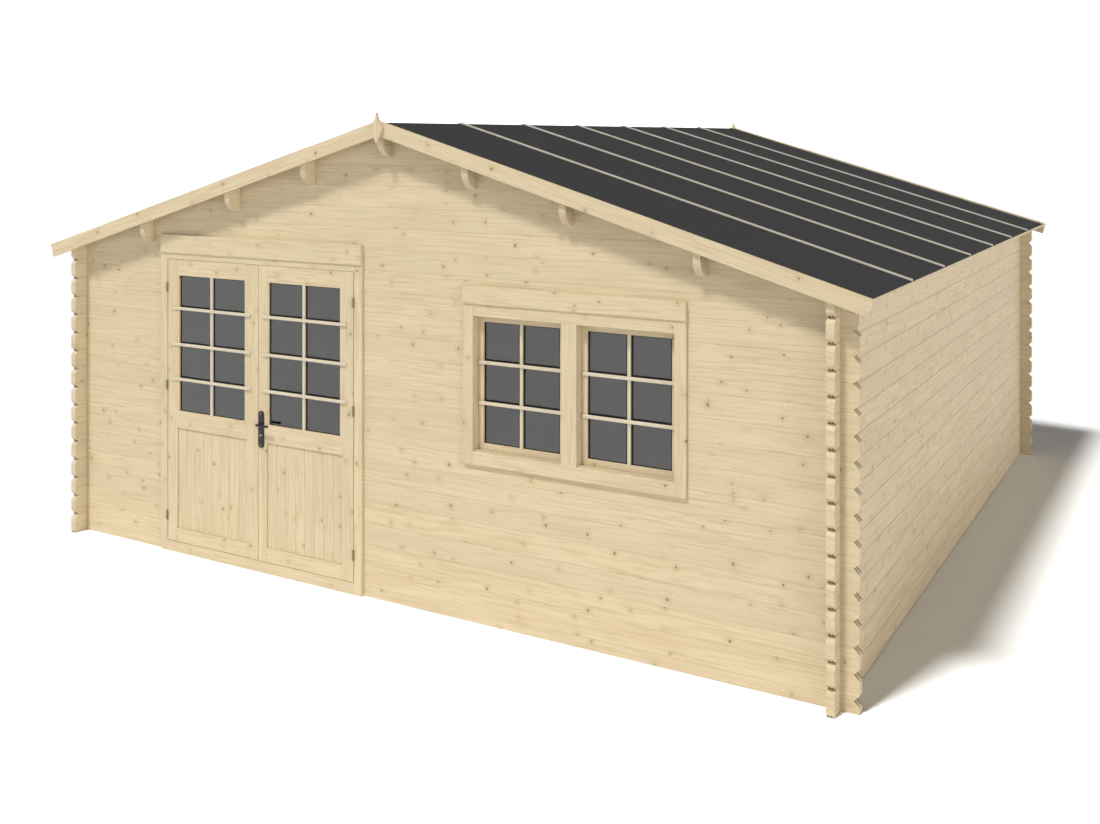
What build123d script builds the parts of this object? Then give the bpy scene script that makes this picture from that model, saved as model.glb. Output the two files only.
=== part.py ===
from build123d import *
import math
import os

os.makedirs("parts", exist_ok=True)

# Log walls, seen from the front: +X right, -Y front, origin under the middle of the building
wall_width = 5780.0
wall_depth = 5820.0
log_height = 135.0
log_thickness = 45.0
log_end = 100.0
side_courses = 16
notch_gap = 0.3
tongue_width = 15.0
tongue_height = 8.0
tongue_side_gap = 0.3
tongue_tip_gap = 1.0
end_chamfer = 28.0

# Roof
roof_slope = 0.2948
eave_overhang = 177.0
roof_board_thickness = 19.0
felt_thickness = 3.0
felt_batten_width = 22.0
felt_batten_height = 12.0
felt_batten_count = 6
felt_batten_pitch = 841.0
barge_height = 95.0
barge_thickness = 20.0
barge_rise = 13.0
barge_reach = 28.0
finial_height = 200.0
finial_width = 96.0
finial_waist = 32.0
finial_shoulder_rise = 106.0
finial_thickness = 18.0
finial_tip_above_felt = 63.0
purlin_thickness = 45.0
purlin_height = 195.0
purlin_shares = [0.22, 0.452, 0.739]

# Door opening in the front wall and its two leaves
door_centre = -1117.5
door_opening_width = 1755.0
door_opening_top = 2118.0
door_frame_face = 31.0
door_frame_depth = 60.0
stop_width = 15.0
sill_height = 75.0
leaf_top = 2073.0
leaf_gap = 5.0
seam_gap = 8.0
seam_offset = 21.5
leaf_thickness = 40.0
stile_width = 95.0
left_meeting_stile = 105.0
right_meeting_stile = 72.0
top_rail = 110.0
middle_rail = 121.0
middle_rail_foot = 883.0
bottom_rail = 93.0
glass_lip = 17.0
glass_thickness = 4.0
door_glass_recess = 14.0
panel_thickness = 16.0
panel_recess = 10.0
casing_thickness = 20.0
casing_width = 62.0
head_casing_lap = 4.0
header_height = 128.0
header_thickness = 28.0

# Hinges and handle
hinge_heights = [254.0, 1180.0, 1877.0]
knuckle_length = 33.0
knuckle_radius = 7.0
knuckle_sides = 12
knuckle_face_gap = 0.5
knuckle_gap = 1.0
pin_radius = 4.0
pin_clearance = 0.05
pin_end_gap = 3.0
hinge_plate_width = 24.0
hinge_plate_gap = 0.4
plate_width = 48.0
plate_height = 250.0
plate_thickness = 8.0
plate_centre_height = 968.0
plate_backset = 26.0
lever_above_plate_centre = 37.0
lever_length = 100.0
lever_section = 16.0
lever_stand_off = 40.0
spindle_radius = 8.0
spindle_clearance = 0.05
lock_mortise = 20.0

# Window opening in the front wall
window_left = 643.0
window_right = 1971.0
window_foot = 1043.0
window_top = 1862.0
window_casing = 70.0
window_casing_foot = 80.0
window_casing_head = 75.0
window_header_height = 105.0
window_frame_face = 28.0
window_frame_depth = 80.0
window_post_width = 101.0
sash_stile = 40.0
sash_depth = 36.0
sash_recess = 40.0
window_glass_recess = 14.0

# Floor
floor_board_thickness = 28.0
joist_width = 60.0
joist_count = 11
floor_gap = 20.0

# Worked-out places
half_width = wall_width / 2
half_depth = wall_depth / 2
slope_cos = math.cos(math.atan(roof_slope))
wall_top = side_courses * log_height
ridge_underside = wall_top + roof_slope * half_width
boards_rise = roof_board_thickness / slope_cos
felt_rise = felt_thickness / slope_cos
ridge_felt_top = ridge_underside + boards_rise + felt_rise
roof_half_width = half_width + eave_overhang
roof_half_depth = half_depth + log_end
front_face = -half_depth
wall_axis_x = half_width - log_thickness / 2
wall_axis_y = half_depth - log_thickness / 2
floor_top = log_height / 2
purlin_places = [share * half_width for share in purlin_shares]
lever_height = plate_centre_height + lever_above_plate_centre


def place_box(x0, x1, y0, y1, z0, z1):
    """Box between two corners."""
    shape = Box(x1 - x0, y1 - y0, z1 - z0)
    return shape.moved(Location(((x0 + x1) / 2, (y0 + y1) / 2, (z0 + z1) / 2)))


def prism_y(points, y0, y1):
    """Outline of (x, z) points pushed from y0 to y1."""
    face = make_face(Polyline(*[(x, 0, z) for x, z in points], close=True))
    solid = extrude(face, amount=y1 - y0, dir=(0, 1, 0))
    return solid.moved(Location((0, y0, 0)))


def save(name, shapes):
    """Write one node, made of one or more solids."""
    solids = []
    for shape in shapes:
        solids.extend(shape.solids())
    for solid in solids:
        solid.label = name
    node = solids[0] if len(solids) == 1 else Compound(children=solids)
    node.label = name
    export_step(node, f"parts/{name}.step")


def under_roof(x):
    """Height of the roof boards' underside at x."""
    return ridge_underside - roof_slope * abs(x)


def log_along_x(foot, head, place_y, crossings, length, groove=True, tongue=True, saddle=True):
    """One log lying along X, notched where it crosses other walls: saddle is the notch below."""
    bite = log_height / 4
    half_notch = log_thickness / 2 + notch_gap
    half = length / 2
    lower_bevel = end_chamfer if groove else 0.0
    upper = []
    lower = []
    for centre in crossings:
        upper += [(centre - half_notch, head), (centre - half_notch, head - bite),
                  (centre + half_notch, head - bite), (centre + half_notch, head)]
        if saddle:
            lower += [(centre - half_notch, foot), (centre - half_notch, foot + bite),
                      (centre + half_notch, foot + bite), (centre + half_notch, foot)]
    points = [(-half, foot + lower_bevel)]
    if groove:
        points.append((-half + end_chamfer, foot))
    points += lower
    if groove:
        points.append((half - end_chamfer, foot))
    points += [(half, foot + lower_bevel), (half, head - end_chamfer), (half - end_chamfer, head)]
    points += list(reversed(upper))
    points += [(-half + end_chamfer, head), (-half, head - end_chamfer)]
    log = prism_y(points, place_y - log_thickness / 2, place_y + log_thickness / 2)
    start = crossings[0] + half_notch if crossings else -half + end_chamfer
    slot = tongue_width / 2 + tongue_side_gap
    if groove:
        log -= place_box(start, -start, place_y - slot, place_y + slot,
                         foot, foot + tongue_height + tongue_tip_gap)
    if tongue:
        log += place_box(start, -start, place_y - tongue_width / 2, place_y + tongue_width / 2,
                         head, head + tongue_height)
    return log


roof_prism_reach = half_width + 2 * eave_overhang
under_roof_space = prism_y(
    [(-roof_prism_reach, 0), (roof_prism_reach, 0),
     (roof_prism_reach, under_roof(roof_prism_reach)), (0, ridge_underside),
     (-roof_prism_reach, under_roof(roof_prism_reach))],
    -2 * half_depth, 2 * half_depth)


def purlin_outline(centre, extra=0.0):
    """Section of a purlin whose top follows the roof."""
    half = purlin_thickness / 2 + extra
    foot = under_roof(centre) - purlin_height
    if centre == 0:
        return [(-half, foot), (half, foot), (half, under_roof(half)),
                (0, ridge_underside), (-half, under_roof(half))]
    return [(centre - half, foot), (centre + half, foot),
            (centre + half, under_roof(centre + half)), (centre - half, under_roof(centre - half))]


purlin_centres = [0.0]
for place in purlin_places:
    purlin_centres += [-place, place]

door_left = door_centre - door_opening_width / 2
door_right = door_centre + door_opening_width / 2
window_hole = place_box(window_left - window_frame_face, window_right + window_frame_face,
                        -2 * half_depth, 0, window_foot - window_frame_face,
                        window_top + window_frame_face)
door_hole = place_box(door_left, door_right, -2 * half_depth, 0, -log_height, door_opening_top)


def gable_wall(name, place_y, holes):
    """Front or rear wall: half a log at the foot, then whole logs up under the roof."""
    length = wall_width + 2 * log_end
    sorted_logs = {"odd": [], "even": []}
    course = 0
    foot = 0.0
    head = log_height / 2
    while foot < ridge_underside - log_height / 2:
        crossings = [-wall_axis_x, wall_axis_x] if head <= wall_top + log_height else []
        log = log_along_x(foot, head, place_y, crossings, length,
                          groove=course > 0, saddle=course > 0)
        if head + tongue_height > under_roof(half_width + log_end):
            log = log & under_roof_space
        for hole in holes:
            if hole.bounding_box().min.Z < head + tongue_height and hole.bounding_box().max.Z > foot:
                log -= hole
        for centre in purlin_centres:
            notch_foot = under_roof(centre) - purlin_height
            if head + tongue_height > notch_foot:
                log -= prism_y(purlin_outline(centre, extra=notch_gap), place_y - log_thickness,
                               place_y + log_thickness)
        sorted_logs["even" if course % 2 == 0 else "odd"].append(log)
        course += 1
        foot = head
        head = foot + log_height
    for kind, logs in sorted_logs.items():
        save(f"{name}_{kind}_logs", logs)


def side_wall(name, place_x):
    """Left or right wall: whole logs, the top one planed to the roof's slope."""
    length = wall_depth + 2 * log_end
    sorted_logs = {"odd": [], "even": []}
    for course in range(side_courses):
        foot = course * log_height
        top_log = course == side_courses - 1
        log = log_along_x(foot, foot + log_height, 0.0, [-wall_axis_y, wall_axis_y], length,
                          groove=course > 0, tongue=not top_log)
        log = log.rotate(Axis.Z, 90).moved(Location((place_x, 0, 0)))
        if top_log:
            log = log & under_roof_space
        sorted_logs["even" if course % 2 == 0 else "odd"].append(log)
    for kind, logs in sorted_logs.items():
        save(f"{name}_{kind}_logs", logs)


gable_wall("front_wall", -wall_axis_y, [door_hole, window_hole])
gable_wall("rear_wall", wall_axis_y, [])
side_wall("left_wall", -wall_axis_x)
side_wall("right_wall", wall_axis_x)


def purlin(centre):
    """Roof purlin from verge to verge, each end rounded underneath."""
    body = prism_y(purlin_outline(centre), -roof_half_depth, roof_half_depth)
    foot = under_roof(centre) - purlin_height
    radius = log_end - notch_gap
    for side in (-1, 1):
        inner = side * (roof_half_depth - radius)
        outer = side * roof_half_depth
        corner = place_box(centre - purlin_thickness, centre + purlin_thickness,
                           min(inner, outer), max(inner, outer), foot, foot + radius)
        round_end = Cylinder(radius, 4 * purlin_thickness, rotation=(0, 90, 0))
        body -= corner - round_end.moved(Location((centre, inner, foot + radius)))
    return body


save("ridge_purlin", [purlin(0.0)])
save("left_purlins", [purlin(-place) for place in purlin_places])
save("right_purlins", [purlin(place) for place in purlin_places])


def roof_layer(side, rise, thickness, y0, y1, inner=0.0, outer=roof_half_width):
    """Sloping slab on one side of the ridge, rise above the boards' underside."""
    near = under_roof(inner) + rise
    far = under_roof(outer) + rise
    points = [(side * inner, near), (side * outer, far),
              (side * outer, far + thickness), (side * inner, near + thickness)]
    return prism_y(points, y0, y1)


batten_rise = felt_batten_height / slope_cos
for side, hand in ((-1, "left"), (1, "right")):
    save(f"{hand}_roof_boards", [roof_layer(side, 0.0, boards_rise, -roof_half_depth, roof_half_depth)])
    save(f"{hand}_roof_felt", [roof_layer(side, boards_rise, felt_rise, -roof_half_depth, roof_half_depth)])
    battens = []
    for index in range(felt_batten_count):
        middle = (index - (felt_batten_count - 1) / 2) * felt_batten_pitch
        battens.append(roof_layer(side, boards_rise + felt_rise, batten_rise,
                                  middle - felt_batten_width / 2, middle + felt_batten_width / 2))
    save(f"{hand}_felt_battens", battens)


# Bargeboards and the kite-shaped finials over their joint
finials = []
barge_drop = barge_height / slope_cos
barge_top_rise = boards_rise + felt_rise + barge_rise
barge_end_shift = barge_height * math.sin(math.atan(roof_slope))
barge_half_width = roof_half_width + barge_reach
for end, depth_name in ((-1, "front"), (1, "rear")):
    barge_inner = end * roof_half_depth
    barge_outer = end * (roof_half_depth + barge_thickness)
    y0, y1 = min(barge_inner, barge_outer), max(barge_inner, barge_outer)
    for side, hand in ((-1, "left"), (1, "right")):
        top = under_roof(0) + barge_top_rise
        tip = under_roof(barge_half_width) + barge_top_rise
        low_x = barge_half_width - barge_end_shift
        low_z = tip - barge_height * slope_cos
        save(f"{depth_name}_{hand}_bargeboard",
             [prism_y([(0, top), (side * barge_half_width, tip), (side * low_x, low_z),
                       (0, top - barge_drop)], y0, y1)])
    tip_z = ridge_felt_top + finial_tip_above_felt
    low_z = tip_z - finial_height
    wide_z = low_z + finial_shoulder_rise
    waist_z = (tip_z + wide_z) / 2
    finial_face = make_face([
        ThreePointArc((0, 0, tip_z), (finial_waist / 2, 0, waist_z), (finial_width / 2, 0, wide_z)),
        Line((finial_width / 2, 0, wide_z), (0, 0, low_z)),
        Line((0, 0, low_z), (-finial_width / 2, 0, wide_z)),
        ThreePointArc((-finial_width / 2, 0, wide_z), (-finial_waist / 2, 0, waist_z), (0, 0, tip_z)),
    ])
    finial_y = y1 if end > 0 else y0 - finial_thickness
    finial = extrude(finial_face, amount=finial_thickness, dir=(0, 1, 0))
    finials.append(finial.moved(Location((0, finial_y, 0))))
save("ridge_finials", finials)


# Door frame, sill and outside boards
leaf_face = front_face - casing_thickness
leaf_back = leaf_face + leaf_thickness
frame_back = front_face + door_frame_depth
stop_face = leaf_back + leaf_gap
clear_left = door_left + door_frame_face
clear_right = door_right - door_frame_face
clear_top = leaf_top + leaf_gap
door_frame = place_box(door_left, door_right, front_face, frame_back, sill_height, door_opening_top)
door_frame -= place_box(clear_left, clear_right, front_face, stop_face, sill_height, clear_top)
door_frame -= place_box(clear_left + stop_width, clear_right - stop_width, stop_face, frame_back,
                        sill_height, clear_top - stop_width)
save("door_frame", [door_frame])
door_sill = place_box(door_left, door_right, front_face, frame_back, 0, sill_height)
door_sill += place_box(clear_left, clear_right, leaf_face, front_face, 0, sill_height)
save("door_sill", [door_sill])
casing_left = clear_left - casing_width
casing_right = clear_right + casing_width
header_foot = door_opening_top + head_casing_lap
save("door_casing", [
    place_box(casing_left, clear_left, leaf_face, front_face, 0, header_foot),
    place_box(clear_right, casing_right, leaf_face, front_face, 0, header_foot),
])
save("door_head_casing", [place_box(clear_left, clear_right, leaf_face, front_face, clear_top, header_foot)])
save("door_header_board", [place_box(casing_left, casing_right, front_face - header_thickness,
                                     front_face, header_foot, header_foot + header_height)])


# Door leaves
leaf_foot = sill_height + leaf_gap
seam = (clear_left + clear_right) / 2 + seam_offset
left_leaf_x = (clear_left + leaf_gap, seam - seam_gap / 2)
right_leaf_x = (seam + seam_gap / 2, clear_right - leaf_gap)
handle_x = right_leaf_x[0] + plate_backset


def door_leaf(name, x0, x1, left_stile, right_stile, bored):
    """Framed leaf: glass above the middle rail and boards below it."""
    field_left = x0 + left_stile
    field_right = x1 - right_stile
    glass_left = field_left + glass_lip
    glass_right = field_right - glass_lip
    glass_foot = middle_rail_foot + middle_rail
    glass_top = leaf_top - top_rail
    frame = place_box(x0, x1, leaf_face, leaf_back, leaf_foot, leaf_top)
    frame -= place_box(glass_left, glass_right, leaf_face, leaf_back, glass_foot, glass_top)
    frame -= place_box(field_left, field_right, leaf_face, leaf_back,
                       leaf_foot + bottom_rail, middle_rail_foot)
    if bored:
        frame -= place_box(handle_x - lock_mortise / 2, handle_x + lock_mortise / 2, leaf_face,
                           leaf_back, lever_height - lock_mortise / 2, lever_height + lock_mortise / 2)
    save(f"{name}_frame", [frame])
    glass_y = leaf_face + door_glass_recess
    save(f"{name}_glass", [place_box(glass_left, glass_right, glass_y, glass_y + glass_thickness,
                                     glass_foot, glass_top)])
    panel_y = leaf_face + panel_recess
    save(f"{name}_panel", [place_box(field_left, field_right, panel_y, panel_y + panel_thickness,
                                     leaf_foot + bottom_rail, middle_rail_foot)])


door_leaf("left_door", *left_leaf_x, stile_width, left_meeting_stile, False)
door_leaf("right_door", *right_leaf_x, right_meeting_stile, stile_width, True)


# Butt hinges with their knuckles outside
hinge_y = leaf_face - knuckle_radius - knuckle_face_gap
hinge_plate_back = leaf_face + hinge_plate_width


def round_bore(radius, depth):
    """Small bore along Z, of flats that lie just outside its radius."""
    return extrude(RegularPolygon(radius, knuckle_sides, major_radius=False), amount=depth)


def hinge_half(hinge_x, height, toward, on_leaf):
    """Half of one hinge: a plate in the gap beside the leaf, its knuckle, and the pin or its hole."""
    foot = height + knuckle_gap / 2 if on_leaf else height - knuckle_length
    head = height + knuckle_length if on_leaf else height - knuckle_gap / 2
    plate_x = sorted((hinge_x + toward * hinge_plate_gap, hinge_x + toward * leaf_gap / 2))
    knuckle = extrude(RegularPolygon(knuckle_radius, knuckle_sides), amount=head - foot)
    half = knuckle.moved(Location((hinge_x, hinge_y, foot)))
    half += place_box(*plate_x, hinge_y, leaf_face, foot, head)
    half += place_box(*plate_x, leaf_face, hinge_plate_back, height - knuckle_length,
                      height + knuckle_length)
    if on_leaf:
        bore = round_bore(pin_radius + pin_clearance, head - foot)
        return half - bore.moved(Location((hinge_x, hinge_y, foot)))
    pin_top = height + knuckle_length - pin_end_gap
    pin = extrude(RegularPolygon(pin_radius, knuckle_sides), amount=pin_top - head)
    return half + pin.moved(Location((hinge_x, hinge_y, head)))


left_hinge_x = clear_left + leaf_gap / 2
right_hinge_x = clear_right - leaf_gap / 2
hinge_pins = []
for hand, hinge_x, toward in (("left", left_hinge_x, 1), ("right", right_hinge_x, -1)):
    save(f"{hand}_door_hinge_leaves", [hinge_half(hinge_x, z, toward, True) for z in hinge_heights])
    hinge_pins += [hinge_half(hinge_x, z, -toward, False) for z in hinge_heights]
save("door_hinge_pins", hinge_pins)


# Handle plates and the lever pair
def handle_plate(back):
    """Long plate with round ends and a hole for the lever's neck."""
    body = extrude(SlotOverall(plate_height, plate_width, rotation=90), amount=plate_thickness)
    body = body.rotate(Axis.X, 90).moved(Location((handle_x, back, plate_centre_height)))
    hole = round_bore(spindle_radius + spindle_clearance, plate_thickness).rotate(Axis.X, 90)
    return body - hole.moved(Location((handle_x, back, lever_height)))


save("door_handle_plates", [handle_plate(leaf_face), handle_plate(leaf_back + plate_thickness)])
lever_outer_y = leaf_face - plate_thickness - lever_stand_off
lever_inner_y = leaf_back + plate_thickness + lever_stand_off
neck = Cylinder(spindle_radius, lever_inner_y - lever_outer_y, rotation=(90, 0, 0))
lever = neck.moved(Location((handle_x, (lever_outer_y + lever_inner_y) / 2, lever_height)))
for bar_y in (lever_outer_y, lever_inner_y):
    lever += place_box(handle_x - spindle_radius, handle_x + lever_length, bar_y - lever_section / 2,
                       bar_y + lever_section / 2, lever_height - lever_section / 2,
                       lever_height + lever_section / 2)
save("door_lever", [lever])


# Window frame with its post, two sashes, glass and outside boards
window_frame_back = front_face + window_frame_depth
post_middle = (window_left + window_right) / 2
post_left = post_middle - window_post_width / 2
post_right = post_middle + window_post_width / 2
window_frame = place_box(window_left - window_frame_face, window_right + window_frame_face,
                         front_face, window_frame_back, window_foot - window_frame_face,
                         window_top + window_frame_face)
for x0, x1 in ((window_left, post_left), (post_right, window_right)):
    window_frame -= place_box(x0, x1, front_face, window_frame_back, window_foot, window_top)
save("window_frame", [window_frame])
sash_y = front_face + sash_recess
sashes = []
panes = []
for x0, x1 in ((window_left, post_left), (post_right, window_right)):
    sash = place_box(x0, x1, sash_y, sash_y + sash_depth, window_foot, window_top)
    sash -= place_box(x0 + sash_stile, x1 - sash_stile, sash_y, sash_y + sash_depth,
                      window_foot + sash_stile, window_top - sash_stile)
    sashes.append(sash)
    pane_y = sash_y + window_glass_recess
    panes.append(place_box(x0 + sash_stile, x1 - sash_stile, pane_y, pane_y + glass_thickness,
                           window_foot + sash_stile, window_top - sash_stile))
save("window_sashes", sashes)
save("window_glass", panes)
window_board_face = front_face - casing_thickness
window_header_foot = window_top + window_casing_head
window_board_foot = window_foot - window_casing_foot
save("window_casing", [
    place_box(window_left - window_casing, window_left, window_board_face, front_face,
              window_board_foot, window_header_foot)
    + place_box(window_right, window_right + window_casing, window_board_face, front_face,
                window_board_foot, window_header_foot)
    + place_box(window_left, window_right, window_board_face, front_face,
                window_board_foot, window_foot)
    + place_box(window_left, window_right, window_board_face, front_face,
                window_top, window_header_foot)
    + place_box(post_left, post_right, window_board_face, front_face, window_foot, window_top)
])
save("window_header_board", [place_box(window_left - window_casing, window_right + window_casing,
                                       front_face - header_thickness, front_face, window_header_foot,
                                       window_header_foot + window_header_height)])


# Floor boards on joists
floor_x = half_width - log_thickness - floor_gap
floor_y = abs(frame_back)
floor_foot = floor_top - floor_board_thickness
save("floor_boards", [place_box(-floor_x, floor_x, -floor_y, floor_y, floor_foot, floor_top)])
joists = []
for index in range(joist_count):
    middle = (index / (joist_count - 1) - 0.5) * (2 * floor_x - joist_width)
    joists.append(place_box(middle - joist_width / 2, middle + joist_width / 2, -floor_y, floor_y,
                            0, floor_foot))
save("floor_joists", joists)
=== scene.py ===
import math
import random
import bmesh
import bpy
from mathutils import Matrix, Vector


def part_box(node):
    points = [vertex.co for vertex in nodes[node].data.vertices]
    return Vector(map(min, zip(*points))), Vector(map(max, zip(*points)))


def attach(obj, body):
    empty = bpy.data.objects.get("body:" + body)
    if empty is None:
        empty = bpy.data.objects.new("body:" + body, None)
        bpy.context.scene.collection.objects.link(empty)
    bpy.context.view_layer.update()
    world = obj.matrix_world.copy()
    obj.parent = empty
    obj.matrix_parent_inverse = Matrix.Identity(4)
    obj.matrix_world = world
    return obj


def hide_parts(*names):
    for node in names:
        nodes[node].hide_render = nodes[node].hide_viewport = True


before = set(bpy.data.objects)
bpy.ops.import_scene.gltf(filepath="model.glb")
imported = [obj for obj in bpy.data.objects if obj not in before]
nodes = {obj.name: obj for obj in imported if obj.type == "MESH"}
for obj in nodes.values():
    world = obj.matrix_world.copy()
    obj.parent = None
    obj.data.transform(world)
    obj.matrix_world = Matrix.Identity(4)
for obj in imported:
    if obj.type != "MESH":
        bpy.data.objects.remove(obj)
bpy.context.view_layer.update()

random.seed(11)
scene = bpy.context.scene


# Camera: level, a little below the ridge, with its lens shifted down so that upright logs stay
# upright.
camera_data = bpy.data.cameras.new("camera")
camera_data.sensor_width = 36.0
camera_data.lens = 39.33
camera_data.shift_y = -0.2502
camera_data.clip_end = 900.0
camera = bpy.data.objects.new("camera", camera_data)
camera.location = (4.6752, -8.999, 2.9453)
camera.rotation_euler = (math.radians(90.0), 0.0, math.radians(29.914))
scene.collection.objects.link(camera)
scene.camera = camera


# Light: a soft high key from the front left, a weak wide fill from the right and a pale sky that is
# white at the horizon.
def sun(name, direction, energy, angle):
    data = bpy.data.lights.new(name, "SUN")
    data.energy = energy
    data.angle = math.radians(angle)
    lamp = bpy.data.objects.new(name, data)
    lamp.rotation_mode = "QUATERNION"
    lamp.rotation_quaternion = Vector(direction).to_track_quat("-Z", "Y")
    scene.collection.objects.link(lamp)


sun("key_light", (0.156, 0.467, -0.87), 3.3, 8.0)
sun("fill_light", (-0.93, 0.3, -0.09), 1.48, 30.0)
world = bpy.data.worlds.new("sky")
world.use_nodes = True
scene.world = world
sky = world.node_tree
direction = sky.nodes.new("ShaderNodeTexCoord")
height = sky.nodes.new("ShaderNodeSeparateXYZ")
fade = sky.nodes.new("ShaderNodeMapRange")
fade.inputs["From Min"].default_value = 0.13
fade.inputs["From Max"].default_value = 0.28
fade.inputs["To Min"].default_value = 1.75
fade.inputs["To Max"].default_value = 0.05
sky.links.new(direction.outputs["Generated"], height.inputs[0])
sky.links.new(height.outputs["Z"], fade.inputs["Value"])
sky.links.new(fade.outputs["Result"], sky.nodes["Background"].inputs["Strength"])
sky.nodes["Background"].inputs["Color"].default_value = (1.0, 1.0, 1.0, 1.0)
scene.view_settings.view_transform = "Standard"


# Floor: a plain pale sheet under the cabin, part of the stage and not of the object.
floor_drop = 0.001
floor_mesh = bpy.data.meshes.new("stage_floor")
bm = bmesh.new()
bmesh.ops.create_grid(bm, x_segments=1, y_segments=1, size=300.0)
bm.to_mesh(floor_mesh)
bm.free()
floor = bpy.data.objects.new("stage_floor", floor_mesh)
floor.location = (0.0, 0.0, -floor_drop)
scene.collection.objects.link(floor)
floor_paint = bpy.data.materials.new("stage_white")
floor_paint.use_nodes = True
floor_surface = floor_paint.node_tree.nodes["Principled BSDF"]
floor_surface.inputs["Base Color"].default_value = (0.962, 0.964, 0.968, 1.0)
floor_surface.inputs["Roughness"].default_value = 0.95
floor_surface.inputs["Specular IOR Level"].default_value = 0.0
floor_mesh.materials.append(floor_paint)


# Spruce: planed timber with fine straight grain, a few small knots, and a tone of its own for each
# log or board. Grain is a place in metres, along, into and across the board.
fresh_wood, ring_wood = (0.6, 0.497, 0.325, 1.0), (0.47, 0.372, 0.225, 1.0)
patch_wood, streak_wood = (0.505, 0.388, 0.245, 1.0), (0.45, 0.35, 0.212, 1.0)
duller_wood, halo_wood = (0.475, 0.408, 0.272, 1.0), (0.42, 0.3, 0.17, 1.0)
knot_wood, gap_shade = (0.175, 0.105, 0.055, 1.0), (0.085, 0.058, 0.032, 1.0)
silvered_wood = (0.52, 0.5, 0.435, 1.0)
knot_stretch = (2.6, 0.02, 8.0)
knot_smallest, knot_largest, halo_reach = 0.006, 0.0135, 0.05
knotless_share = 0.2
broad_ring_scale, fine_ring_scale = 80.0, 420.0
grain_relief = 0.0006


def calc(tree, operation, a, b=0.0, c=0.0, clamp=False):
    step = tree.nodes.new("ShaderNodeMath")
    step.operation = operation
    step.use_clamp = clamp
    for socket, value in zip(step.inputs, (a, b, c)):
        if isinstance(value, (int, float)):
            socket.default_value = value
        else:
            tree.links.new(value, socket)
    return step.outputs[0]


def calc_vector(tree, operation, a, b=(0.0, 0.0, 0.0)):
    step = tree.nodes.new("ShaderNodeVectorMath")
    step.operation = operation
    for socket, value in zip(step.inputs, (a, b)):
        if isinstance(value, tuple):
            socket.default_value = value
        else:
            tree.links.new(value, socket)
    return step.outputs["Value" if operation == "LENGTH" else "Vector"]


def join(tree, x, y, z):
    step = tree.nodes.new("ShaderNodeCombineXYZ")
    for socket, value in zip(step.inputs, (x, y, z)):
        if isinstance(value, (int, float)):
            socket.default_value = value
        else:
            tree.links.new(value, socket)
    return step.outputs[0]


def split(tree, vector):
    step = tree.nodes.new("ShaderNodeSeparateXYZ")
    tree.links.new(vector, step.inputs[0])
    return step.outputs[0], step.outputs[1], step.outputs[2]


def ramp(tree, value, start, end, low=0.0, high=1.0):
    step = tree.nodes.new("ShaderNodeMapRange")
    step.interpolation_type = "SMOOTHSTEP"
    for socket, given in zip(step.inputs, (value, start, end, low, high)):
        if isinstance(given, (int, float)):
            socket.default_value = given
        else:
            tree.links.new(given, socket)
    return step.outputs[0]


def blend_colours(tree, amount, first, second):
    step = tree.nodes.new("ShaderNodeMix")
    step.data_type = "RGBA"
    for socket, value in zip((step.inputs[0], step.inputs[6], step.inputs[7]), (amount, first, second)):
        if isinstance(value, (int, float, tuple)):
            socket.default_value = value
        else:
            tree.links.new(value, socket)
    return step.outputs[2]


def noise(tree, vector, scale, detail):
    step = tree.nodes.new("ShaderNodeTexNoise")
    step.inputs["Scale"].default_value = scale
    step.inputs["Detail"].default_value = detail
    tree.links.new(vector, step.inputs["Vector"])
    return step.outputs[0]


spruce = bpy.data.node_groups.new("spruce", "ShaderNodeTree")
spruce.interface.new_socket("Grain", in_out="INPUT", socket_type="NodeSocketVector")
spruce.interface.new_socket("Seed", in_out="INPUT", socket_type="NodeSocketFloat")
spruce.interface.new_socket("PaintedShade", in_out="INPUT", socket_type="NodeSocketFloat")
spruce.interface.new_socket("Color", in_out="OUTPUT", socket_type="NodeSocketColor")
spruce.interface.new_socket("Roughness", in_out="OUTPUT", socket_type="NodeSocketFloat")
spruce.interface.new_socket("Height", in_out="OUTPUT", socket_type="NodeSocketFloat")
given = spruce.nodes.new("NodeGroupInput")
made = spruce.nodes.new("NodeGroupOutput")
seed = given.outputs["Seed"]
moved = calc_vector(spruce, "ADD", given.outputs["Grain"],
                    join(spruce, calc(spruce, "MULTIPLY", seed, 91.7), 0.0,
                         calc(spruce, "MULTIPLY", seed, 7.3)))
knot_place = calc_vector(spruce, "MULTIPLY", moved, knot_stretch)
cells = spruce.nodes.new("ShaderNodeTexVoronoi")
cells.inputs["Scale"].default_value = 1.0
spruce.links.new(knot_place, cells.inputs["Vector"])
to_knot = calc_vector(spruce, "SUBTRACT", cells.outputs["Position"], knot_place)
to_knot = calc_vector(spruce, "MULTIPLY", to_knot, (1 / knot_stretch[0], 0.0, 1 / knot_stretch[2]))
knot_distance = calc_vector(spruce, "LENGTH", to_knot)
chance, spread, tint = split(spruce, cells.outputs["Color"])
present = calc(spruce, "GREATER_THAN", chance, knotless_share)
knot_radius = ramp(spruce, spread, 0.0, 1.0, knot_smallest, knot_largest)
knot = ramp(spruce, knot_distance, knot_radius, calc(spruce, "MULTIPLY", knot_radius, 0.3))
knot = calc(spruce, "MULTIPLY", knot, present)
halo = calc(spruce, "MULTIPLY", ramp(spruce, knot_distance, halo_reach, 0.0), present)
sway = noise(spruce, calc_vector(spruce, "MULTIPLY", moved, (1.5, 5.0, 5.0)), 1.0, 2.0)
along, depth, across = split(spruce, moved)
ring_across = calc(spruce, "MULTIPLY_ADD", sway, 0.035, across)
ring_across = calc(spruce, "MULTIPLY_ADD", halo, 0.012, ring_across)
heart = calc(spruce, "MULTIPLY_ADD", seed, -0.11, 0.14)
ring = calc_vector(spruce, "LENGTH", join(spruce, 0.0, calc(spruce, "ADD", depth, heart), ring_across))
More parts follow.
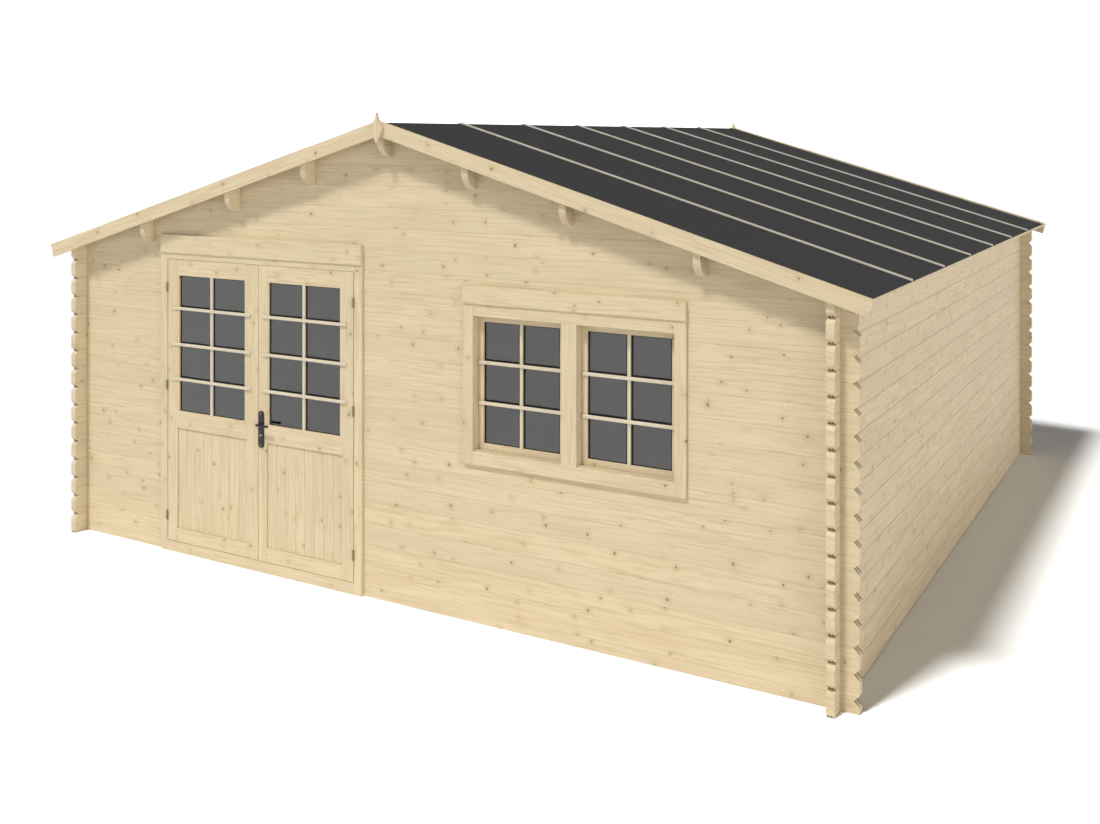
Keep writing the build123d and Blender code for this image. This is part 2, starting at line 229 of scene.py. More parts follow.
broad_rings = noise(spruce, join(spruce, calc(spruce, "MULTIPLY", along, 2.4),
                                 calc(spruce, "MULTIPLY", ring, broad_ring_scale), 0.0), 1.0, 2.0)
fine_rings = noise(spruce, join(spruce, calc(spruce, "MULTIPLY", along, 6.0),
                                calc(spruce, "MULTIPLY", ring, fine_ring_scale), 0.0), 1.0, 2.0)
patches = noise(spruce, calc_vector(spruce, "MULTIPLY", moved, (1.6, 4.0, 12.0)), 1.0, 3.0)
zones = noise(spruce, calc_vector(spruce, "MULTIPLY", moved, (1.3, 3.0, 7.0)), 1.0, 1.0)
streaks = noise(spruce, calc_vector(spruce, "MULTIPLY", moved, (5.0, 9.0, 62.0)), 1.0, 2.0)
streaks = calc(spruce, "MULTIPLY", ramp(spruce, streaks, 0.46, 0.72),
               ramp(spruce, zones, 0.36, 0.62, 0.15, 1.0))
grain_tone = ramp(spruce, broad_rings, 0.42, 0.72)
grain_tone = calc(spruce, "MULTIPLY_ADD", fine_rings, 0.5, grain_tone)
tone = blend_colours(spruce, calc(spruce, "MULTIPLY", grain_tone, 0.62, clamp=True), fresh_wood, ring_wood)
tone = blend_colours(spruce, ramp(spruce, patches, 0.42, 0.72, 0.0, 0.6), tone, patch_wood)
tone = blend_colours(spruce, calc(spruce, "MULTIPLY", streaks, 0.68), tone, streak_wood)
own = spruce.nodes.new("ShaderNodeTexWhiteNoise")
own.noise_dimensions = "1D"
spruce.links.new(calc(spruce, "MULTIPLY_ADD", seed, 173.1, 2.7), own.inputs["W"])
tone = blend_colours(spruce, calc(spruce, "MULTIPLY", own.outputs["Value"], 0.3), tone, duller_wood)
tone = blend_colours(spruce, calc(spruce, "MULTIPLY", halo, 0.38), tone, halo_wood)
knot_strength = calc(spruce, "MULTIPLY", knot, ramp(spruce, tint, 0.0, 1.0, 0.3, 0.85))
tone = blend_colours(spruce, knot_strength, tone, knot_wood)
tone = blend_colours(spruce, given.outputs["PaintedShade"], tone, gap_shade)
relief = calc(spruce, "MULTIPLY_ADD", broad_rings, 0.25, calc(spruce, "MULTIPLY", fine_rings, 0.3))
relief = calc(spruce, "SUBTRACT", relief, calc(spruce, "MULTIPLY", given.outputs["PaintedShade"], 3.0))
spruce.links.new(tone, made.inputs["Color"])
spruce.links.new(calc(spruce, "MULTIPLY_ADD", fine_rings, 0.2, 0.5), made.inputs["Roughness"])
spruce.links.new(relief, made.inputs["Height"])


def new_paint(name):
    paint = bpy.data.materials.new(name)
    paint.use_nodes = True
    return paint, paint.node_tree, paint.node_tree.nodes["Principled BSDF"]


def spruce_paint(name, wire, paleness=0.0):
    """Timber paint; wire(tree) gives the grain place, the seed and the painted shade in that piece's joints,
    grooves and notches.
    """
    paint, tree, surface = new_paint(name)
    wood = tree.nodes.new("ShaderNodeGroup")
    wood.node_tree = spruce
    for socket, value in zip(wood.inputs, wire(tree)):
        if isinstance(value, (int, float)):
            socket.default_value = value
        else:
            tree.links.new(value, socket)
    bump = tree.nodes.new("ShaderNodeBump")
    bump.inputs["Strength"].default_value = 0.5
    bump.inputs["Distance"].default_value = grain_relief
    tree.links.new(wood.outputs["Height"], bump.inputs["Height"])
    colour = wood.outputs["Color"]
    if paleness:
        colour = blend_colours(tree, paleness, colour, silvered_wood)
    tree.links.new(colour, surface.inputs["Base Color"])
    tree.links.new(wood.outputs["Roughness"], surface.inputs["Roughness"])
    tree.links.new(bump.outputs["Normal"], surface.inputs["Normal"])
    surface.inputs["Specular IOR Level"].default_value = 0.25
    return paint


def object_place(tree):
    place = tree.nodes.new("ShaderNodeTexCoord")
    return split(tree, place.outputs["Object"])


def random_of(tree, value):
    drawn = tree.nodes.new("ShaderNodeTexWhiteNoise")
    drawn.noise_dimensions = "1D"
    tree.links.new(value, drawn.inputs["W"])
    return drawn.outputs["Value"]


# Wall logs: 45 mm spruce logs 135 mm high, tongued into each other and notched at the corners. The
# paint follows each course, with a painted shadow line between courses and, at the bevelled log ends,
# painted shade in the two open grooves that the real ends show and in each notch.
log_height = 0.135
log_end_bevel = 0.028
joint_edge, joint_core = 0.0022, 0.0007
groove_place, groove_half_width, groove_height, groove_length = 0.008, 0.0052, 0.0115, 0.027
groove_darkness = 0.85
notch_edge, notch_core, notch_darkness, notch_off_axis = 0.005, 0.0015, 0.7, 0.011
course_nudge = 0.0005


def log_wire(runs_along_x, first_joint, wall_number, half_length, wall_axis, joint_shadow_strength):
    def wire(tree):
        x, y, z = object_place(tree)
        run, into = (x, y) if runs_along_x else (y, x)
        course_place = calc(tree, "DIVIDE", calc(tree, "SUBTRACT", z, first_joint), log_height)
        course = calc(tree, "FLOOR", calc(tree, "ADD", course_place, course_nudge))
        above = calc(tree, "MULTIPLY", calc(tree, "SUBTRACT", course_place, course), log_height)
        drawn = random_of(tree, calc(tree, "ADD", course, wall_number))
        # Painted shade: a shadow line at each course joint and the shaded insides of the two grooves near
        # each log end.
        to_joint = calc(tree, "MINIMUM", above, calc(tree, "SUBTRACT", log_height, above))
        joint = ramp(tree, to_joint, joint_edge, joint_core)
        to_end = calc(tree, "SUBTRACT", half_length, calc(tree, "ABSOLUTE", run))
        off_axis = calc(tree, "ABSOLUTE", calc(tree, "SUBTRACT", calc(tree, "ABSOLUTE", into), wall_axis))
        off_groove = calc(tree, "ABSOLUTE", calc(tree, "SUBTRACT", off_axis, groove_place))
        in_groove = calc(tree, "LESS_THAN", off_groove, groove_half_width)
        near_end = calc(tree, "LESS_THAN", to_end, groove_length)
        groove_low = calc(tree, "LESS_THAN", above, groove_height)
        groove = calc(tree, "MULTIPLY", calc(tree, "MULTIPLY", in_groove, near_end), groove_low)
        painted_shade = calc(tree, "MAXIMUM", calc(tree, "MULTIPLY", joint, joint_shadow_strength),
                   calc(tree, "MULTIPLY", groove, groove_darkness))
        # Painted shade on the bevel at the head of each front and rear log, where the log above overhangs it.
        if runs_along_x:
            from_head = calc(tree, "SUBTRACT", log_height + half_length - log_end_bevel,
                             calc(tree, "ADD", above, run))
            notch = calc(tree, "MULTIPLY", ramp(tree, from_head, notch_edge, notch_core, 0.0, notch_darkness),
                         calc(tree, "GREATER_THAN", off_axis, notch_off_axis))
            painted_shade = calc(tree, "MAXIMUM", painted_shade, notch)
        return join(tree, run, into, z), drawn, painted_shade
    return wire


front_low, front_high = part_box("front_wall_even_logs")
side_low, side_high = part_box("right_wall_even_logs")
front_axis = abs(front_low.y + front_high.y) / 2
side_axis = abs(side_low.x + side_high.x) / 2
# The last number in each row sets how dark the painted shadow line between courses is on that wall: faintest
# on the lit front and darkest on the right wall.
for wall, runs_along_x, first_joint, half_length, wall_axis, joint_shadow_strength in (
        ("front", True, log_height / 2, front_high.x, front_axis, 0.28),
        ("rear", True, log_height / 2, front_high.x, front_axis, 0.4),
        ("left", False, 0.0, side_high.y, side_axis, 0.5),
        ("right", False, 0.0, side_high.y, side_axis, 0.8)):
    wall_number = 31.0 + 40.0 * len(wall)
    wire = log_wire(runs_along_x, first_joint, wall_number, half_length, wall_axis, joint_shadow_strength)
    paint = spruce_paint(wall + "_log_spruce", wire)
    for half in ("even", "odd"):
        log_node = nodes[wall + "_wall_" + half + "_logs"]
        log_node.data.materials.clear()
        log_node.data.materials.append(paint)


# Plain timber kept from the CAD model: purlins, finials, door frame, sill, casings, header boards and
# joists. Each is planed spruce with its grain along its own length.
def plain_wire(order, seed_scale):
    def wire(tree):
        place = object_place(tree)
        run, into, cross = place[order[0]], place[order[1]], place[order[2]]
        drawn = random_of(tree, calc(tree, "FLOOR", calc(tree, "MULTIPLY", cross, seed_scale)))
        return join(tree, run, into, cross), drawn, 0.0
    return wire


spruce_along_x = spruce_paint("spruce_along_x", plain_wire((0, 1, 2), 0.5))
spruce_along_y = spruce_paint("spruce_along_y", plain_wire((1, 2, 0), 3.0))
spruce_upright = spruce_paint("spruce_upright", plain_wire((2, 1, 0), 0.8))
for names, paint in (
        (("ridge_purlin", "left_purlins", "right_purlins", "floor_joists"), spruce_along_y),
        (("door_sill", "door_head_casing", "door_header_board", "window_header_board"), spruce_along_x),
        (("door_frame", "door_casing", "ridge_finials"), spruce_upright)):
    for name in names:
        nodes[name].data.materials.clear()
        nodes[name].data.materials.append(paint)


# Roof felt: dark grey mineral felt laid in strips from ridge to eaves, with fine stone granules.
dark_stone, light_stone = (0.022, 0.0215, 0.0225, 1.0), (0.039, 0.038, 0.039, 1.0)
weathered_stone = (0.036, 0.035, 0.036, 1.0)
stone_relief = 0.0008
paint, tree, surface = new_paint("mineral_felt")
felt = bpy.data.node_groups.new("granules", "ShaderNodeTree")
felt.interface.new_socket("Place", in_out="INPUT", socket_type="NodeSocketVector")
felt.interface.new_socket("Color", in_out="OUTPUT", socket_type="NodeSocketColor")
felt.interface.new_socket("Height", in_out="OUTPUT", socket_type="NodeSocketFloat")
given = felt.nodes.new("NodeGroupInput")
made = felt.nodes.new("NodeGroupOutput")
grit = noise(felt, given.outputs["Place"], 700.0, 2.0)
cloud = noise(felt, given.outputs["Place"], 1.3, 3.0)
shade = blend_colours(felt, ramp(felt, grit, 0.35, 0.65), dark_stone, light_stone)
shade = blend_colours(felt, ramp(felt, cloud, 0.3, 0.7, 0.0, 0.25), shade, weathered_stone)
felt.links.new(shade, made.inputs["Color"])
felt.links.new(grit, made.inputs["Height"])
grains = tree.nodes.new("ShaderNodeGroup")
grains.node_tree = felt
place = tree.nodes.new("ShaderNodeTexCoord")
bump = tree.nodes.new("ShaderNodeBump")
bump.inputs["Strength"].default_value = 0.6
bump.inputs["Distance"].default_value = stone_relief
tree.links.new(place.outputs["Object"], grains.inputs["Place"])
tree.links.new(grains.outputs["Color"], surface.inputs["Base Color"])
tree.links.new(grains.outputs["Height"], bump.inputs["Height"])
tree.links.new(bump.outputs["Normal"], surface.inputs["Normal"])
surface.inputs["Roughness"].default_value = 0.92
surface.inputs["Specular IOR Level"].default_value = 0.2
for name in ("left_roof_felt", "right_roof_felt"):
    nodes[name].data.materials.clear()
    nodes[name].data.materials.append(paint)


# Glass: lightly tinted float glass in the door leaves and the window sashes, bedded in the timber. It
# mirrors the pale floor outside.
glass, tree, surface = new_paint("float_glass")
surface.inputs["Base Color"].default_value = (0.345, 0.335, 0.315, 1.0)
surface.inputs["Roughness"].default_value = 0.02
surface.inputs["IOR"].default_value = 1.85
surface.inputs["Transmission Weight"].default_value = 1.0
surface.inputs["Metallic"].default_value = 0.0
for name in ("left_door_glass", "right_door_glass", "window_glass"):
    nodes[name].data.materials.clear()
    nodes[name].data.materials.append(glass)


# Boards: every planed board is its own bevelled box with its own grain place and seed, kept in two
# attributes that the paint reads.
def board_wire(tree):
    grain = tree.nodes.new("ShaderNodeAttribute")
    grain.attribute_name = "grain"
    own_seed = tree.nodes.new("ShaderNodeAttribute")
    own_seed.attribute_name = "board_seed"
    return grain.outputs["Vector"], own_seed.outputs["Fac"], 0.0


board_paint = spruce_paint("board_spruce", board_wire)
pale_paint = spruce_paint("pale_spruce", board_wire, 0.75)
bar_paint = spruce_paint("bar_spruce", board_wire, 0.4)
axis_x, axis_y, axis_z = Vector((1, 0, 0)), Vector((0, 1, 0)), Vector((0, 0, 1))
along_shift, into_shift, across_shift = 9.0, 0.01, 0.4
planed_edge = 0.0015


def start_boards():
    bm = bmesh.new()
    return bm, bm.verts.layers.float_vector.new("grain"), bm.verts.layers.float.new("board_seed")


def mark_board(boards, fresh, run, into):
    bm, grain, board_seed = boards
    cross = run.cross(into)
    shift = Vector((random.uniform(0.0, along_shift), random.uniform(-into_shift, into_shift),
                    random.uniform(-across_shift, across_shift)))
    own_seed = random.random()
    for vertex in fresh:
        place = Vector((vertex.co.dot(run), vertex.co.dot(into), vertex.co.dot(cross)))
        vertex[grain] = place + shift
        vertex[board_seed] = own_seed


def bevel_edges(bm, edges, bevel, segments):
    bmesh.ops.bevel(bm, geom=edges, offset=bevel, offset_type="OFFSET", segments=segments, profile=0.5,
                    affect="EDGES", clamp_overlap=True, material=-1)


def add_block(bm, low, high):
    """Plain box between two corners."""
    low, high = Vector(low), Vector(high)
    place = Matrix.Translation((high + low) / 2) @ Matrix.Diagonal((*(high - low), 1.0))
    return bmesh.ops.create_cube(bm, size=1.0, matrix=place)["verts"]


def edges_of(corners):
    return list({edge for vertex in corners for edge in vertex.link_edges})


def add_board(boards, low, high, run, into, bevel=planed_edge, segments=2):
    """Bevelled box between two corners."""
    bm = boards[0]
    known = set(bm.verts)
    corners = add_block(bm, low, high)
    if bevel:
        bevel_edges(bm, edges_of(corners), bevel, segments)
    mark_board(boards, [vertex for vertex in bm.verts if vertex not in known], run, into)


def only_verts(parts):
    return [part for part in parts if isinstance(part, bmesh.types.BMVert)]


def add_plank(boards, outline, push, run, into, bevel, segments):
    """Bevelled board from a flat outline pushed along a vector."""
    bm = boards[0]
    known = set(bm.verts)
    face = bm.faces.new([bm.verts.new(point) for point in outline])
    grown = bmesh.ops.extrude_face_region(bm, geom=[face])["geom"]
    bmesh.ops.translate(bm, verts=only_verts(grown), vec=push)
    fresh = [vertex for vertex in bm.verts if vertex not in known]
    faces = list({side for vertex in fresh for side in vertex.link_faces})
    bmesh.ops.recalc_face_normals(bm, faces=faces)
    bevel_edges(bm, edges_of(fresh), bevel, segments)
    mark_board(boards, [vertex for vertex in bm.verts if vertex not in known], run, into)


def finish_mesh(bm, name, body, paint, replaced=()):
    mesh = bpy.data.meshes.new(name)
    bm.to_mesh(mesh)
    bm.free()
    mesh.materials.append(paint)
    piece = bpy.data.objects.new(name, mesh)
    scene.collection.objects.link(piece)
    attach(piece, body)
    if replaced:
        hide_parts(*replaced)
    return piece


# Roof boards: planed spruce boards 19 mm thick, tongued into each other and laid from ridge to eaves.
# They are nailed to the purlins and to the top logs of the side walls.
board_pitch = 0.096
board_gap = 0.0008
roof_board_edge = 0.0018
same_place = 1e-4


def slope_of(name):
    """Ridge and eaves of a sloping node, each as an x and the heights found there, and the way down."""
    low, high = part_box(name)
    inner_x, outer_x = (low.x, high.x) if name.startswith("right") else (high.x, low.x)
    corners = nodes[name].data.vertices
    ridge, eaves = (sorted({round(corner.co.z, 5) for corner in corners if abs(corner.co.x - x) < same_place})
                    for x in (inner_x, outer_x))
    run = Vector((outer_x - inner_x, 0.0, eaves[0] - ridge[0])).normalized()
    return inner_x, outer_x, ridge, eaves, run


for hand in ("left", "right"):
    low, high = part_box(hand + "_roof_boards")
    inner_x, outer_x, ridge, eaves, run = slope_of(hand + "_roof_boards")
    count = round((high.y - low.y) / board_pitch)
    pitch = (high.y - low.y) / count
    boards = start_boards()
    for index in range(count):
        y = low.y + index * pitch + board_gap / 2
        outline = [(inner_x, y, ridge[0]), (outer_x, y, eaves[0]),
                   (outer_x, y, eaves[1]), (inner_x, y, ridge[1])]
        add_plank(boards, outline, Vector((0.0, pitch - board_gap, 0.0)), run, axis_y.cross(run),
                  roof_board_edge, 1)
    finish_mesh(boards[0], hand + "_roof_planks", "cabin", board_paint,
                [hand + "_roof_boards"])


# Felt battens: thin pale spruce battens from ridge to eaves on each slope, nailed through the laps of
# the felt to hold it down.
batten_width, batten_height, batten_edge = 0.017, 0.011, 0.001
for hand in ("left", "right"):
    inner_x, outer_x, ridge, eaves, run = slope_of(hand + "_felt_battens")
    edges = sorted({round(corner.co.y, 4) for corner in nodes[hand + "_felt_battens"].data.vertices})
    boards = start_boards()
    for near, far in zip(edges[::2], edges[1::2]):
        y = (near + far - batten_width) / 2
        outline = [(inner_x, y, ridge[0]), (outer_x, y, eaves[0]),
                   (outer_x, y, eaves[0] + batten_height), (inner_x, y, ridge[0] + batten_height)]
        add_plank(boards, outline, Vector((0.0, batten_width, 0.0)), run, axis_y.cross(run), batten_edge, 1)
    finish_mesh(boards[0], hand + "_batten_strips", "cabin", pale_paint,
                [hand + "_felt_battens"])


# Bargeboards: planed spruce boards along each verge, their ends cut square to the slope. They are
# nailed to the roof boards and meet under the finials.
barge_edge = 0.002
for end in ("front", "rear"):
    for hand in ("left", "right"):
        name = end + "_" + hand + "_bargeboard"
        low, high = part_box(name)
        corners = sorted({(round(v.co.x, 5), round(v.co.z, 5)) for v in nodes[name].data.vertices})
        inner = sorted([(x, z) for x, z in corners if abs(x) < same_place], key=lambda corner: corner[1])
        outer = sorted([(x, z) for x, z in corners if abs(x) > same_place], key=lambda corner: corner[1])
        outline = [(x, low.y, z) for x, z in (inner[0], outer[0], outer[1], inner[1])]
        run = Vector((outer[1][0] - inner[1][0], 0.0, outer[1][1] - inner[1][1])).normalized()
        boards = start_boards()
        add_plank(boards, outline, Vector((0.0, high.y - low.y, 0.0)), run, axis_y, barge_edge, 2)
        finish_mesh(boards[0], end + "_" + hand + "_barge_plank", "cabin", board_paint,
                    [name])


# Floor boards: tongued spruce boards laid across the joists and nailed to them, seen when the leaves
# stand open.
floor_board_pitch, floor_board_edge = 0.09, 0.001
low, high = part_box("floor_boards")
count = round((high.y - low.y) / floor_board_pitch)
pitch = (high.y - low.y) / count
boards = start_boards()
for index in range(count):
    y = low.y + index * pitch + board_gap / 2
    add_board(boards, (low.x, y, low.z), (high.x, y + pitch - board_gap, high.z), axis_x, axis_z,
              floor_board_edge, 1)
finish_mesh(boards[0], "floor_planks", "cabin", board_paint, ["floor_boards"])


# Glazing seal: thin black rubber strips pressed on the outer face of the glass, round each light and
# under every bar. The strips also carry painted reflection: dark bands standing for the glass mirroring the
# shaded backs of the bars and the shaded sides of the sash, so each strip reaches further above its bar.
seal_and_reflection_paint, tree, surface = new_paint("black_seal_and_painted_reflection")
place = tree.nodes.new("ShaderNodeTexCoord")
dust = noise(tree, place.outputs["Object"], 90.0, 2.0)
tree.links.new(ramp(tree, dust, 0.3, 0.7, 0.55, 0.75), surface.inputs["Roughness"])
surface.inputs["Base Color"].default_value = (0.012, 0.012, 0.011, 1.0)
surface.inputs["Specular IOR Level"].default_value = 0.2
seal_thickness, seal_margin = 0.0012, 0.011
seal_below_bar, reflection_band_above_bar = 0.003, 0.009
seal_clearance = 0.0001


def add_seal_and_reflection(bm, low, high, bar_places, upright_width, bar_width):
    """Seal round one light, with a strip under its middle upright and under each cross bar, wider above each
    bar as painted reflection.
    """
    near, far = low.y - seal_thickness, low.y - seal_clearance
    middle = (low.x + high.x) / 2
    half = upright_width / 2 + seal_margin
    for x0, x1 in ((low.x, low.x + seal_margin), (middle - half, middle + half),
                   (high.x - seal_margin, high.x)):
        add_block(bm, (x0, near, low.z), (x1, far, high.z))
    spans = [(low.z, low.z + seal_margin / 2), (high.z - seal_margin / 2, high.z)]
    # Painted reflection: the strip reaches further above each bar than below it.
    spans += [(z - bar_width / 2 - seal_below_bar, z + bar_width / 2 + reflection_band_above_bar) for z in bar_places]
    for z0, z1 in spans:
        for x0, x1 in ((low.x + seal_margin, middle - half), (middle + half, high.x - seal_margin)):
            add_block(bm, (x0, near, z0), (x1, far, z1))


# Door leaves: stiles and rails jointed flush, beads beside the glass and tongued upright boards in the
# lower panel. In front of the glass stand one upright muntin and three bars laid over the stiles, and
# thinner ones stand behind it.
meeting_stile = {"left": 0.105, "right": 0.072}
hinge_stile = 0.095
top_rail, middle_rail, bottom_rail = 0.11, 0.121, 0.093
middle_rail_foot = 0.883
glass_lip = 0.017
bead_set_back = 0.001
panel_board_count, panel_board_gap, panel_board_edge = 8, 0.0004, 0.0014
bar_height = 0.021
bar_depth = 0.011
bar_reach = 0.058
bar_heights = (1.231, 1.476, 1.731)
bar_edge = 0.004
door_muntin, muntin_edge, muntin_set_back = 0.022, 0.002, 0.0005
inner_bar_depth = 0.014
glass_clearance = 0.0002
leaf_margin = 0.0025


def add_inner_bars(boards, low, high, places, muntin):
    """Muntin and bars on the room side of one light."""
    middle, near = (low.x + high.x) / 2, high.y + glass_clearance
    far, half, half_bar = near + inner_bar_depth, muntin / 2, bar_height / 2
    add_board(boards, (middle - half, near, low.z), (middle + half, far, high.z), axis_z, axis_y,
              muntin_edge)
    for z in places:
        for x0, x1 in ((low.x, middle - half), (middle + half, high.x)):
            add_board(boards, (x0, near, z - half_bar), (x1, far, z + half_bar), axis_x, axis_y,
                      muntin_edge)


for side, hand in ((-1, "left"), (1, "right")):
    body = hand + "_door_leaf"
    low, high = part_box(hand + "_door_frame")
    stile_left = hinge_stile if side < 0 else meeting_stile["right"]
    stile_right = meeting_stile["left"] if side < 0 else hinge_stile
    field_left, field_right = low.x + stile_left, high.x - stile_right
    face, back = low.y, high.y
    foot, head = low.z - leaf_margin, high.z + leaf_margin
    left_edge = low.x if side < 0 else low.x - leaf_margin
    right_edge = high.x + leaf_margin if side < 0 else high.x
    boards = start_boards()
    for x0, x1 in ((left_edge, field_left), (field_right, right_edge)):
        add_board(boards, (x0, face, foot), (x1, back, head), axis_z, axis_y)
    glass_foot, glass_top = middle_rail_foot + middle_rail, high.z - top_rail
    for z0, z1 in ((foot, low.z + bottom_rail), (middle_rail_foot, glass_foot), (glass_top, head)):
        add_board(boards, (field_left, face, z0), (field_right, back, z1), axis_x, axis_y)
    for x0, x1 in ((field_left, field_left + glass_lip), (field_right - glass_lip, field_right)):
        add_board(boards, (x0, face + bead_set_back, glass_foot), (x1, back - bead_set_back, glass_top),
                  axis_z, axis_y)
    finish_mesh(boards[0], hand + "_leaf_joinery", body, board_paint,
                [hand + "_door_frame"])
    low_panel, high_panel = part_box(hand + "_door_panel")
    boards = start_boards()
    width = (high_panel.x - low_panel.x) / panel_board_count
    for index in range(panel_board_count):
        x = low_panel.x + index * width + panel_board_gap / 2
        add_board(boards, (x, low_panel.y, low_panel.z),
                  (x + width - panel_board_gap, high_panel.y, high_panel.z), axis_z, axis_y,
                  panel_board_edge, 1)
    finish_mesh(boards[0], hand + "_panel_boards", body, board_paint,
                [hand + "_door_panel"])
    low_glass, high_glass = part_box(hand + "_door_glass")
    middle = (low_glass.x + high_glass.x) / 2
    boards = start_boards()
    add_board(boards, (middle - door_muntin / 2, face + muntin_set_back, low_glass.z),
              (middle + door_muntin / 2, low_glass.y - seal_thickness, high_glass.z), axis_z, axis_y,
              muntin_edge)
    for z in bar_heights:
        add_board(boards, (low_glass.x - bar_reach, face - bar_depth, z - bar_height / 2),
                  (high_glass.x + bar_reach, face, z + bar_height / 2), axis_x, axis_y, bar_edge, 3)
    add_inner_bars(boards, low_glass, high_glass, bar_heights, door_muntin)
    finish_mesh(boards[0], hand + "_door_bars", body, bar_paint)
    bm = bmesh.new()
    add_seal_and_reflection(bm, low_glass, high_glass, bar_heights, door_muntin, bar_height)
    finish_mesh(bm, hand + "_door_seal_and_reflection", body, seal_and_reflection_paint)


# Window: planed boards round the opening and over the post, a rebated frame, two sashes with square
# stiles, and one upright muntin and two bars on both sides of each light.
low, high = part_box("window_casing")
frame_low, frame_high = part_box("window_frame")
sash_low, sash_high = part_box("window_sashes")
pane_low, pane_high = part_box("window_glass")
post_width = 0.101
frame_edge = 0.001
window_muntin = 0.021
bar_set_in = 0.008
lip, lip_depth = 0.006, 0.016
post_left = (sash_low.x + sash_high.x - post_width) / 2
post_right = post_left + post_width
boards = start_boards()
for x0, x1 in ((low.x, sash_low.x), (sash_high.x, high.x)):
    add_board(boards, (x0, low.y, low.z), (x1, high.y, high.z), axis_z, axis_y)
for z0, z1 in ((low.z, sash_low.z), (sash_high.z, high.z)):
    add_board(boards, (sash_low.x, low.y, z0), (sash_high.x, high.y, z1), axis_x, axis_y)
add_board(boards, (post_left, low.y, sash_low.z), (post_right, high.y, sash_high.z), axis_z, axis_y)
finish_mesh(boards[0], "window_casing_boards", "cabin", board_paint, ["window_casing"])
boards = start_boards()
for x0, x1 in ((frame_low.x, sash_low.x), (post_left, post_right), (sash_high.x, frame_high.x)):
    add_board(boards, (x0, frame_low.y, frame_low.z), (x1, frame_high.y, frame_high.z), axis_z, axis_y,
              frame_edge)
for z0, z1 in ((frame_low.z, sash_low.z), (sash_high.z, frame_high.z)):
    for x0, x1 in ((sash_low.x, post_left), (post_right, sash_high.x)):
        add_board(boards, (x0, frame_low.y, z0), (x1, frame_high.y, z1), axis_x, axis_y, frame_edge)
for x0, x1 in ((sash_low.x, post_left), (post_right, sash_high.x)):
    for a, b in ((sash_low.z, sash_low.z + lip), (sash_high.z - lip, sash_high.z)):
        add_board(boards, (x0, frame_low.y, a), (x1, frame_low.y + lip_depth, b), axis_x, axis_y, 0.0)
finish_mesh(boards[0], "window_frame_joinery", "cabin", board_paint, ["window_frame"])
stile = pane_low.x - sash_low.x
sash_boards = start_boards()
bars = start_boards()
seal = bmesh.new()
for x0, x1 in ((sash_low.x, post_left), (post_right, sash_high.x)):
    for a, b in ((x0, x0 + stile), (x1 - stile, x1)):
        add_board(sash_boards, (a, sash_low.y, sash_low.z), (b, sash_high.y, sash_high.z), axis_z, axis_y)
    for a, b in ((sash_low.z, pane_low.z), (pane_high.z, sash_high.z)):
        add_board(sash_boards, (x0 + stile, sash_low.y, a), (x1 - stile, sash_high.y, b), axis_x, axis_y)
    middle = (x0 + x1) / 2
    add_board(bars, (middle - window_muntin / 2, sash_low.y + muntin_set_back, pane_low.z),
              (middle + window_muntin / 2, pane_low.y - seal_thickness, pane_high.z), axis_z, axis_y,
              muntin_edge)
    thirds = [pane_low.z + (pane_high.z - pane_low.z) * part / 3 for part in (1, 2)]
    light_low = Vector((x0 + stile, pane_low.y, pane_low.z))
    light_high = Vector((x1 - stile, pane_high.y, pane_high.z))
    add_seal_and_reflection(seal, light_low, light_high, thirds, window_muntin, bar_height)
    for z in thirds:
        add_board(bars, (x0 + bar_set_in, sash_low.y - bar_depth, z - bar_height / 2),
                  (x1 - bar_set_in, sash_low.y, z + bar_height / 2), axis_x, axis_y, bar_edge, 3)
    add_inner_bars(bars, light_low, light_high, thirds, window_muntin)
finish_mesh(sash_boards[0], "window_sash_joinery", "cabin", board_paint,
            ["window_sashes"])
finish_mesh(bars[0], "window_bars", "cabin", bar_paint)
finish_mesh(seal, "window_seal_and_reflection", "cabin", seal_and_reflection_paint)


# Handle set: two long dark grey plates with round ends, a rounded lever on each side and a lock
# cylinder under it, screwed through the right leaf's meeting stile.
def metal(name, colour, roughness, metallic):
    paint, tree, surface = new_paint(name)
    place = tree.nodes.new("ShaderNodeTexCoord")
    wear = noise(tree, place.outputs["Object"], 160.0, 3.0)
    tree.links.new(ramp(tree, wear, 0.3, 0.7, roughness - 0.06, roughness + 0.08),
                   surface.inputs["Roughness"])
    surface.inputs["Base Color"].default_value = colour
    surface.inputs["Metallic"].default_value = metallic
    return paint


def smooth_piece(piece):
    for polygon in piece.data.polygons:
        polygon.use_smooth = True
    piece.data.set_sharp_from_angle(angle=math.radians(32.0))


